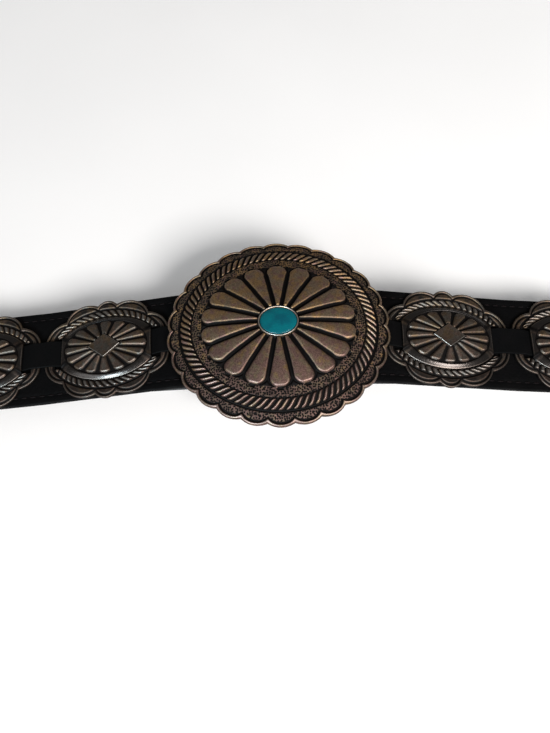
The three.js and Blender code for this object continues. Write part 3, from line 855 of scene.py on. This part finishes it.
@dataclass
class Concho:
    """One small cast concho, worked out over the leather's face and centred on its own middle.

    Lengths are in millimetres, and names that end in a or b are half axes along X and Y.
    Its face is made in parts, from the edge inwards. Each part's method takes the curves and returns its rows
    of points, their wear with painted highlights and painted shade in it, and their polish.
    """

    line: BeltLine
    finishes: Finishes
    side: Side
    number: int
    a: float = 28.9
    b: float = 23.4
    ground: float = 1.1
    notch: float = 2.5
    small: float = 0.7
    small_span: float = 0.17
    notch_degrees: tuple = (9.4, 45, 90, 133.4, 170)
    rope_a: float = 25.5
    rope_b: float = 18.0
    slot_outer: float = 23.5
    dome_a: float = 22.8
    dome_b: float = 14.6
    dome_side: float = 20.0
    roof: float = 1.75
    petals: int = 16
    petal_a: float = 18.3
    petal_b: float = 12.1
    lozenge_a: float = 7.1
    lozenge_b: float = 5.45
    lozenge_top: float = 4.7
    strands: int = 18
    line_height: float = 0.4
    rope_sunk: float = 0.3
    rope_rise: float = 1.1
    rope_slant: float = 0.46
    petal_foot: float = 2.3
    petal_slope: float = 1.2
    petal_rise: float = 0.95
    corner: float = math.radians(24)
    columns: int = 432

    @property
    def name(self) -> str:
        """The concho's name, as its node's."""
        return f"concho_{self.side.word}_{'inner' if self.number == 0 else 'outer'}"

    def angles(self) -> Array:
        """The columns' angles, with columns exactly at the slots' corners."""
        count = self.columns // 4
        near = round(count * self.corner / (math.pi / 2))
        quarter = np.concatenate([np.linspace(0, self.corner, near + 1)[:-1],
                                  np.linspace(self.corner, math.pi / 2, count - near + 1)])
        half = np.concatenate([quarter, math.pi - quarter[:-1][::-1]])
        return np.concatenate([half[:-1], half[:-1] + math.pi])

    def clipped(self, angle: Array, a: float, b: float, limit: float) -> Array:
        """An oval with straight sides: the side's height is shared evenly up to the corner's column.

        Args:
            angle: The columns' angles.
            a: The oval's half axis along X.
            b: The oval's half axis along Y.
            limit: How far out along X the straight sides stand.

        Returns:
            A flat curve with a point in each column.
        """
        folded = off_axis(angle)
        top_y = b * math.sqrt(1 - (limit / a) ** 2)
        start = math.asin(top_y / b)
        round_share = np.clip((folded - self.corner) / (math.pi / 2 - self.corner), 0, 1)
        beyond = start + round_share * (math.pi / 2 - start)
        straight = folded <= self.corner + 1e-9
        x = np.where(straight, limit, a * np.cos(beyond)) * np.where(np.cos(angle) < 0, -1, 1)
        y = np.where(straight, top_y * folded / self.corner, b * np.sin(beyond))
        y = y * np.where(np.sin(angle) < 0, -1, 1)
        return np.stack([x, y], axis=-1)

    def between(self, first: Array, second: Array, share: Array) -> tuple[Array, Array, Array]:
        """Rows from one curve to another, how far each lies from the first, and how far they are apart."""
        rows = first + (second - first) * share[:, None, None]
        length = np.linalg.norm(second - first, axis=-1)
        return rows, share[:, None] * length, length

    def curves(self) -> Curves:
        """Works out the curves.

        The outline dips with the square of the distance from each scallop's middle, and the two small
        scallops reach less far out. The rope's outer line and the dome's foot have straight sides.
        """
        angle = self.angles()
        degrees = [90 - d for d in self.notch_degrees]
        notches = np.mod(np.radians(degrees + [180 - d for d in degrees]), TURN)
        place = lobe_place(angle, np.unique(np.round(notches, 6)))
        short = np.where(np.abs(np.cos(angle)) < self.small_span, self.small, 0)
        dip = short + (self.notch - short) * place**2
        spread = np.abs(np.cos(angle)) + np.abs(np.sin(angle))
        lozenge_x = self.lozenge_a * np.cos(angle) / spread
        lozenge_y = self.lozenge_b * np.sin(angle) / spread
        return Curves(
            angle, place, off_axis(angle) < self.corner - 1e-6,
            outline=oval(self.a - dip, self.b - dip, angle, 0)[..., :2],
            rope_line=self.clipped(angle, self.rope_a, self.rope_b, self.slot_outer),
            foot=self.clipped(angle, self.dome_a, self.dome_b, self.dome_side),
            tips=oval(self.petal_a, self.petal_b, angle, 0)[..., :2],
            lozenge=np.stack([lozenge_x, lozenge_y], axis=-1),
        )

    def build(self) -> bpy.types.Object:
        """Makes the concho as one closed casting with its two slots open."""
        curves = self.curves()
        flange, rope = self.flange(curves), self.rope(curves)
        parts = [flange, rope, self.flank(curves), self.petal_field(curves), self.lozenge_rows(curves)]
        rows = np.concatenate([points for points, _, _ in parts])
        shades, polish = (
            np.concatenate([np.broadcast_to(part[layer], part[0].shape[:2]) for part in parts])
            for layer in (1, 2)
        )
        rope_row = len(flange[0]) - 1
        foot_row = rope_row + len(rope[0]) + 1
        opened = curves.in_slot | np.roll(curves.in_slot, -1)
        keep = np.ones(rows.shape[:2], bool)
        keep[rope_row:foot_row] = ~opened
        facets = Facets()
        top = facets.grid(rows, np.clip(shades, 0, 1), keep=keep, polish=polish)
        facets.close(top[-1], True)
        self.underside(facets, curves, top[0], top[rope_row:foot_row + 1], opened)
        made = facets.piece(self.name + "_cast", self.place)
        self.finishes.dress(made, "cast_metal", "concho_metal")
        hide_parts(self.name)
        return made

    def flange(self, curves: Curves) -> Part:
        """A raised line along the edge, a dark groove inside it, and a crescent in each scallop with a
        painted highlight.
        """
        share = np.concatenate([[0, 0.012, 0.03, 0.055], np.linspace(0.09, 1, 26)])
        rows, inset, length = self.between(curves.outline, curves.rope_line, share)
        line_width = 1.05 + 0.8 * curves.place**4
        line = self.line_height * arch((inset - line_width / 2) / (line_width / 2))
        room = np.minimum(inset - line_width - 0.75, length - 0.7 - inset)
        crescent = np.minimum(room, (1 - np.abs(curves.place)) * 7 - 0.8)
        plateau = pillow(crescent, 0.7)
        groove = 0.35 * hump(inset, line_width + 0.3, 0.3) + 0.3 * hump(length - inset, 0.15, 0.35)
        z = self.ground + line - groove + 0.4 * plateau - 0.3 * (1 - pillow(inset, 0.3))
        # lit is a painted highlight on each crescent's top and along its edge.
        lit = 0.12 * plateau + 0.34 * hump(crescent, 0.3, 0.2)
        return lifted(rows, z), 0.1 + 0.62 * smooth(line, 0.08, 0.34) - 1.1 * groove + lit, 0.0

    def rope(self, curves: Curves) -> Part:
        """The rope arcs: short slanting strands above and below the dome, smaller towards the arcs' ends."""
        share = np.linspace(0, 1, 20)[1:-1]
        rows = self.between(curves.rope_line, curves.foot, share)[0]
        arc = (np.mod(curves.angle, math.pi) - self.corner) / (math.pi - 2 * self.corner)
        ending = np.minimum(arc, 1 - arc)
        reach = 0.42 * (0.72 + 0.28 * smooth(ending, 0.0, 0.14))
        across = (share[:, None] - 0.47) / reach
        strand = arch(strand_place(arc * self.strands + self.rope_slant * across + 0.5) / 0.84)
        ridge = strand * arch(np.abs(across), 6) * pillow(ending, 0.025)
        z = np.where(curves.in_slot, self.ground, self.ground - self.rope_sunk + self.rope_rise * ridge)
        return lifted(rows, z), 0.02 + 0.85 * smooth(ridge, 0.3, 1.0), 0.0

    def flank(self, curves: Curves) -> Part:
        """The dome's plain dark side, from its foot, or the slot's lip, to the groove at the petals' tips.

        It leaves the foot steeply and then slopes at about 40 degrees, easing off with the cube of the
        distance. A thin raised line, worn and with a painted highlight, runs along it near its foot and fades
        at the slots' corners, where the colour is darkened as painted shade.
        """
        share = np.concatenate([np.linspace(0, 0.3, 10), np.linspace(0.3, 1, 14)[1:]])
        rows, inset, length = self.between(curves.foot, curves.tips, share)
        low = np.where(curves.in_slot, self.roof + 0.2, self.ground - 0.2)
        rise = 0.2 * pillow(inset, 0.3) + 0.8 * (1.42 * share - 0.42 * share**3)[:, None]
        away = smooth(np.abs(off_axis(curves.angle) - self.corner), 0.02, 0.2)
        line = hump(inset, 0.32, 0.15) * away
        fall = 1 - smooth(length - inset, 0.05, 0.5)
        z = low + (2.8 - low) * rise + 0.06 * line - 0.35 * fall
        # The line's 0.4 is a painted highlight; the factor 0.3 + 0.7 * away darkens the slots' corners as
        # painted shade.
        wear_and_painted_light = (0.44 + 0.4 * line - 0.44 * fall) * (0.3 + 0.7 * away)
        return lifted(rows, z), wear_and_painted_light, np.clip(1 - 1.2 * line, 0, 1) * away

    def petal_field(self, curves: Curves) -> Part:
        """Tapering petals with round tips and dark grooves, rising from the border towards the lozenge."""
        angle, margin = curves.angle, 0.2
        share = np.concatenate([np.linspace(0, 0.3, 14), np.linspace(0.3, 1, 20)[1:]])[1:]
        rows, inset, _ = self.between(curves.tips, curves.lozenge * 1.13, share)
        step = (np.roll(rows, -1, axis=1) - np.roll(rows, 1, axis=1)) / 2
        turn = np.mod(np.roll(angle, -1) - np.roll(angle, 1), TURN) / 2
        spread = np.linalg.norm(step, axis=-1) / turn * math.pi / self.petals
        half = np.maximum(0.79 * spread - 0.12, 0.15)
        allowed = half * arch(1 - np.clip((inset - margin) / 1.5, 0, 1), 2.6)
        lateral = np.abs(lobe_place(angle, even_notches(self.petals))) * spread
        edge = np.minimum(allowed - lateral, inset - margin)
        inside = np.clip(edge, 0, None)
        z = self.petal_foot + self.petal_slope * share[:, None] + self.petal_rise * pillow(inside, 1.0)
        # rim_light along the petals' edges and tip_light at their outer ends are painted highlights.
        rim_light = np.clip(edge / 0.15, 0, 1) * (1 - smooth(edge, 0.3, 0.7))
        tip_light = 0.2 * (1 - smooth(inset, 0.6, 3.2))
        wear_and_painted_light = np.where(edge > 0, 0.47 * pillow(inside, 0.45) + 0.1 * rim_light + tip_light, 0.02)
        return lifted(rows, z), wear_and_painted_light, 0.0

    def lozenge_rows(self, curves: Curves) -> Part:
        """The flat raised lozenge with a bright bevelled edge."""
        top = self.lozenge_top
        # Each row's size, height and wear
        size, z, wear_and_painted_light = np.array([
            (1.02, 3.6, 0.1), (1.0, 4.1, 0.5), (0.98, 4.5, 0.9), (0.955, top, 0.95), (0.91, top - 0.02, 0.6),
            (0.7, top - 0.05, 0.55), (0.45, top - 0.07, 0.55), (0.15, top - 0.08, 0.55),
        ]).T[..., None]
        return lifted(curves.lozenge * size[..., None], z), wear_and_painted_light, 0.0

    def underside(self, facets: Facets, curves: Curves, edge: Array, slot: Array, opened: Array) -> None:
        """Closes the casting below: a flat foot, the hollow under the dome and the slots' walls.

        Args:
            facets: Where the faces go.
            curves: The concho's curves.
            edge: The numbers of the upper points along the outline.
            slot: The numbers of the upper rows from the rope's outer line to the dome's foot.
            opened: The columns that start an open cell.
        """
        gap, roof = self.line.gap, self.roof
        hollow = curves.foot * 0.93
        foot_z = np.where(curves.in_slot, roof, gap)
        rows = np.stack([lifted(curve, z) for curve, z in (
            (curves.outline, gap), (curves.rope_line, gap), (curves.foot, foot_z), (hollow, roof),
            (hollow * 0.4, roof),
        )])
        keep = np.ones(rows.shape[:2], bool)
        keep[1] = ~opened
        low = facets.grid(rows[::-1], 0.25, keep=keep[[3, 2, 1, 0, 4]])[::-1]
        facets.close(low[4], False)
        facets.strip(low[0], edge)
        for column in np.flatnonzero(opened):
            after = (column + 1) % len(opened)
            facets.face([slot[0, column], slot[0, after], low[1, after], low[1, column]])
            facets.face([slot[-1, after], slot[-1, column], low[2, column], low[2, after]])
        for column in np.flatnonzero(opened & ~np.roll(opened, 1)):
            facets.face([*slot[::-1, column], low[1, column], low[2, column]])
        for column in np.flatnonzero(~opened & np.roll(opened, 1)):
            facets.face([*slot[:, column], low[2, column], low[1, column]])

    def place(self, points: Array) -> Array:
        """Carries the concho to its straight stretch of the front."""
        stations, levels = self.line.stations, self.line.levels
        low, high = self.number + 1, self.number + 2
        x = self.side.value * (stations[low] + stations[high]) / 2 + self.line.concho_slide
        tilt = self.side.value * math.atan2(levels[low] - levels[high], stations[high] - stations[low])
        slope = self.line.slope_left if self.side is Side.LEFT else -self.line.slope_right
        turned = Matrix.Rotation(math.atan(slope), 3, "Z") @ Matrix.Rotation(tilt, 3, "Y")
        seat_x, seat_z = self.line.on_front(x, 0)
        middle = np.array([float(seat_x), float(self.line.front_y(seat_x)), float(seat_z)])
        return points @ np.array(turned).T + middle


@dataclass
class Bands:
    """The leather panels, the narrow straps, their stitches and the elastic."""

    line: BeltLine
    finishes: Finishes
    strap_width: float = 11.8
    strap_thick: float = 1.0
    strap_over: float = 1.65
    strap_under: float = 0.3
    ramp_in: float = 20.3
    ramp_out: float = 23.9
    strap_inner: float = 36
    strap_outer: float = 166
    seam_inset: float = 3.4
    stitch_pitch: float = 3.9
    stitch_length: float = 2.7
    stitch_radius: float = 0.36
    furrow: float = 0.28
    rib_depth: float = 0.09
    rib_pitch: float = 1.3

    def section(self, width: float, thick: float, corner: float, seam: float | None = None) -> Array:
        """A band's section: a slab with round edges and, where given, a shallow furrow under each seam.

        Args:
            width: The band's width.
            thick: The band's thickness.
            corner: The radius of its edges.
            seam: How far the seams lie from the edges.

        Returns:
            Points across and up, from the upper left corner over the top and back underneath.
        """
        half = width / 2 - corner
        quarter = np.linspace(0, math.pi / 2, 5)
        flat = np.linspace(half, -half, 61)
        furrow = 0 if seam is None else self.furrow * hump(np.abs(flat), width / 2 - seam, 0.55)
        over = np.stack([flat, -np.broadcast_to(furrow, flat.shape)], axis=-1)
        left = np.stack([-half - corner * np.sin(quarter), -corner + corner * np.cos(quarter)], axis=-1)
        low_left = left[::-1] * [1, -1] + [0, -thick]
        under = np.stack([-flat, np.full(flat.shape, -thick)], axis=-1)[::6]
        low_right = (low_left * [-1, 1])[::-1]
        right = (left * [-1, 1])[::-1]
        return np.concatenate([over, left[1:], low_left, under[1:-1], low_right, right[:-1]])

    def carry(self, name: str, x: Array, z: Array, up: Array, y: Array, section: Array) -> bpy.types.Object:
        """Carries a section along a path in side view and closes both ends.

        Args:
            name: The piece's name.
            x: The path's X at each step.
            z: The path's Z at each step.
            up: The upward direction at each step, X and Z.
            y: The middle line's Y at each step.
            section: Points across and up.

        Returns:
            The piece.
        """
        across, lift = section[:, 0], section[:, 1]
        points = np.stack([
            x[:, None] + up[:, :1] * lift,
            y[:, None] + across + 0 * lift,
            z[:, None] + up[:, 1:] * lift,
        ], axis=-1)
        along = np.concatenate([[0], np.cumsum(np.hypot(np.diff(x), np.diff(z)))])
        cloth = np.stack(np.broadcast_arrays(along[:, None], across), axis=-1)
        facets = Facets()
        facets.cap(facets.grid(points[::-1], cloth=cloth[::-1]))
        return facets.piece(name)

    def front_path(self, side: Side, x: Array, lift: Array) -> tuple[Array, Array, Array, Array]:
        """A path on the front, from left to right.

        Args:
            side: The belt's half.
            x: Rising distances from the middle.
            lift: The height over the leather's face at each distance.

        Returns:
            At each step the X, the Z, the upward direction and the middle line's Y.
        """
        ordered = np.sort(side.value * x)
        height = np.interp(ordered, np.sort(side.value * x), lift if side is Side.RIGHT else lift[::-1])
        px, pz = self.line.on_front(ordered, height)
        run = np.gradient(px)
        rise = np.gradient(pz)
        up = np.stack([-rise, run], axis=-1) / np.hypot(run, rise)[:, None]
        return px, pz, up, self.line.front_y(ordered)

    def panel(self, side: Side) -> bpy.types.Object:
        """One leather panel, whose inner end is hidden under the buckle."""
        x = np.linspace(self.line.panel_inner, self.line.panel_outer, 160)
        px, pz, up, y = self.front_path(side, x, np.zeros(len(x)))
        section = self.section(self.line.band_width, self.line.leather, 0.55, self.seam_inset)
        made = self.carry(f"panel_{side.word}", px, pz, up, y, section)
        self.finishes.dress(made, "black_leather")
        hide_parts(f"leather_{side.word}")
        return made

    def strap_route(self, side: Side) -> tuple[Array, Array]:
        """A strap's route: distances along the front and heights of its underside over the leather."""
        ramp = self.ramp_out - self.ramp_in
        seat, pitch = self.line.buckle_seat, self.line.pitch
        knots = [(self.strap_inner, self.strap_under), (seat - 1 - ramp, self.strap_under),
                 (seat - 1, self.strap_over)]
        for number in range(2):
            middle = seat + (number + 0.5) * pitch + side.value * self.line.concho_slide
            knots += [(middle - self.ramp_out, self.strap_over), (middle - self.ramp_in, self.strap_under),
                      (middle + self.ramp_in, self.strap_under), (middle + self.ramp_out, self.strap_over)]
        knots += [(seat + 2 * pitch, self.strap_over), (self.strap_outer - ramp, self.strap_under),
                  (self.strap_outer, self.strap_under)]
        x = np.linspace(self.strap_inner, self.strap_outer, 270)
        lift = np.interp(x, *np.array(knots).T)
        soft = np.convolve(np.pad(lift, 2, mode="edge"), np.ones(5) / 5, mode="valid")
        return x, soft

    def strap(self, side: Side) -> bpy.types.Object:
        """One narrow strap over the flanges, down the slots and along under the domes."""
        x, lift = self.strap_route(side)
        px, pz, up, y = self.front_path(side, x, lift + self.strap_thick)
        section = self.section(self.strap_width, self.strap_thick, 0.32)
        made = self.carry(f"strap_{side.word}_band", px, pz, up, y, section)
        self.finishes.dress(made, "strap_leather")
        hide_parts(f"strap_{side.word}")
        return made

    def stitches(self, side: Side) -> bpy.types.Object:
        """Stitches as small half-sunk beads of thread along both seams and across the panel's outer end.

        Each is a round body stretched along its seam: its radius falls as the root of one less the square of
        the distance from its middle.
        """
        run = np.arange(self.line.panel_inner + 4, self.line.panel_outer - 3, self.stitch_pitch)
        seam = self.line.band_width / 2 - self.seam_inset
        cross = np.arange(-seam, seam + 0.1, self.stitch_pitch)
        cross = cross[np.abs(cross) > 7.5]
        places = [(x, y, True) for y in (-seam, seam) for x in run]
        places += [(self.line.panel_outer - 3, y, False) for y in cross]
        at = np.array([(x, y) for x, y, _ in places])
        lengthwise = np.array([flag for _, _, flag in places])
        turn = np.arange(8) * TURN / 8
        along = np.linspace(-1, 1, 7)[:, None]
        radius = self.stitch_radius * np.sqrt(np.clip(1.02 - along**2, 0, 1))
        parts = (along * self.stitch_length / 2, radius * np.cos(turn), radius * np.sin(turn))
        bead = np.stack(np.broadcast_arrays(*parts), -1)
        facets = Facets()
        for (x, y), flag in zip(at, lengthwise):
            local = bead if flag else bead[..., [1, 0, 2]] * [-1, 1, 1]
            shift = local + np.array([x, y, -0.1 if flag else 0.02])
            px, pz = self.line.on_front(side.value * shift[..., 0], shift[..., 2])
            middle = self.line.front_y(side.value * shift[..., 0])
            points = np.stack([px, middle + shift[..., 1], pz], axis=-1)
            facets.cap(facets.grid(points if side is Side.LEFT else points[:, ::-1]))
        made = facets.piece(f"stitches_{side.word}")
        self.finishes.dress(made, "black_leather", "thread")
        return made

    def elastic(self) -> bpy.types.Object:
        """The elastic: under both leather ends, round the folds and flat along the back, finely ribbed."""
        line = self.line
        lift = -line.leather - line.gap - line.elastic / 2
        front_x = np.linspace(line.panel_outer - line.lap, line.end_x - 6, 40)
        fx, fz = line.on_front(front_x, lift)
        middle = line.fold_radius + line.elastic / 2
        angle = np.linspace(math.pi / 2, -math.pi / 2, 33)
        bend_x = line.end_x + line.fold_radius * np.cos(angle)
        bend_z = middle + line.fold_radius * np.sin(angle)
        back_x = np.linspace(line.end_x, 0, 60)[1:]
        half_x = np.concatenate([fx, bend_x, back_x])
        half_z = np.concatenate([fz, bend_z, np.full(len(back_x), line.elastic / 2)])
        x = np.concatenate([half_x, -half_x[:-1][::-1]])
        z = np.concatenate([half_z, half_z[:-1][::-1]])
        run, rise = np.gradient(x), np.gradient(z)
        up = np.stack([-rise, run], axis=-1) / np.hypot(run, rise)[:, None]
        section = self.section(line.band_width, line.elastic, 0.7)
        rib = self.rib_depth * (1 - np.abs(np.sin(section[:, 0] * math.pi / self.rib_pitch)))
        section[:, 1] = section[:, 1] + line.elastic / 2
        section[:, 1] -= np.sign(section[:, 1]) * rib
        made = self.carry("elastic", x, z, up, line.elastic_y(x, z), section)
        self.finishes.dress(made, "elastic_webbing")
        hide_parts("elastic_band")
        return made

    def build(self) -> list:
        """Makes every band and returns them."""
        made = [self.elastic()]
        for side in Side:
            made += [self.panel(side), self.strap(side), self.stitches(side)]
        return made


@dataclass
class Studio:
    """The pale floor, soft lights and the camera at the photograph's angle."""

    line: BeltLine
    distance: float = 235.2
    tilt: float = math.radians(20.8)
    roll: float = 0.030
    aim_x: float = -1.9
    aim_y: float = -14.9
    focal_pixels: float = 560
    frame_height: float = 733
    sensor: float = 36

    def floor(self) -> None:
        """A wide pale floor under the belt."""
        sheet = Sheet("floor")
        shade = sheet.mix(sheet.level(sheet.noise(9, 3), 0.3, 0.7), (0.9, 0.9, 0.9, 1), (0.93, 0.93, 0.93, 1))
        sheet.dress(
            Base_Color=shade, Roughness=0.9, Specular_IOR_Level=0.1,
            Emission_Color=(1, 1, 1, 1), Emission_Strength=0.13,
        )
        size = 4.0
        mesh = bpy.data.meshes.new("floor")
        corners = [(-size, -size, 0), (size, -size, 0), (size, size, 0), (-size, size, 0)]
        mesh.from_pydata(corners, [], [(0, 1, 2, 3)])
        mesh.materials.append(sheet.material)
        floor = link("floor", mesh)

    def light(
        self, name: str, place: tuple, size: float, power: float, colour: tuple, glint: bool = False
    ) -> None:
        """Adds an area light that faces the buckle.

        Args:
            name: The light's name.
            place: Where it stands, in metres.
            size: The side of its square, in metres.
            power: Its power in watts.
            colour: Its colour.
            glint: Whether it only shows as reflections.
        """
        data = bpy.data.lights.new(name, "AREA")
        data.size = size
        data.energy = power
        data.color = colour
        lamp = link(name, data)
        lamp.location = place
        lamp.visible_diffuse = not glint
        lamp.rotation_euler = (-Vector(place)).to_track_quat("-Z", "Y").to_euler()

    def lights(self) -> None:
        """A key light from the lower right, a weak fill, two low glints and a pale sky."""
        self.light("key", (0.5, -0.7, 0.75), 0.45, 15.5, (1.0, 0.975, 0.955))
        self.light("fill", (-0.8, -0.6, 0.6), 0.5, 2.2, (0.88, 0.95, 1.0))
        self.light("cool_glint", (-0.33, -0.82, 0.52), 0.3, 20, (0.7, 0.89, 1.0), True)
        self.light("warm_glint", (0.6, -0.8, 0.5), 0.2, 0.6, (1.0, 0.92, 0.86), True)
        world = bpy.data.worlds.new("studio")
        world.use_nodes = True
        background = world.node_tree.nodes["Background"]
        background.inputs["Color"].default_value = (1, 1, 1, 1)
        background.inputs["Strength"].default_value = 0.24
        bpy.context.scene.world = world
        bpy.context.scene.view_settings.view_transform = "Standard"

    def camera(self) -> None:
        """The camera: it looks down, tilted towards the near side and a little rolled."""
        up = np.array([0, math.cos(self.tilt), math.sin(self.tilt)])
        right = np.array([1.0, 0, 0])
        back = np.array([0, -math.sin(self.tilt), math.cos(self.tilt)])
        turn_right = math.cos(self.roll) * right - math.sin(self.roll) * up
        turn_up = math.sin(self.roll) * right + math.cos(self.roll) * up
        aim = np.array([self.aim_x, self.aim_y, self.line.face])
        place = (aim + back * self.distance) * MM
        matrix = Matrix.Identity(4)
        for column, axis in enumerate((turn_right, turn_up, back, place)):
            for row in range(3):
                matrix[row][column] = float(axis[row])
        data = bpy.data.cameras.new("camera")
        data.sensor_width = self.sensor
        data.lens = self.focal_pixels / self.frame_height * self.sensor
        data.clip_start = 0.01
        camera = link("camera", data)
        camera.matrix_world = matrix
        bpy.context.scene.camera = camera

    def build(self) -> None:
        """Sets up the camera, the floor and the lights."""
        self.camera()
        self.floor()
        self.lights()


def main() -> None:
    """Builds the belt piece by piece and reports each."""
    logging.basicConfig(level=logging.INFO, format="%(name)s: %(message)s")
    line = BeltLine()
    Studio(line).build()
    finishes = Finishes()
    made = Buckle(line, finishes).build()
    for side in Side:
        for number in range(2):
            made.append(Concho(line, finishes, side, number).build())
    made += Bands(line, finishes).build()
    for piece in made:
        LOG.info("%s: %d faces", piece.name, len(piece.data.polygons))


if __name__ == "__main__":
    main()
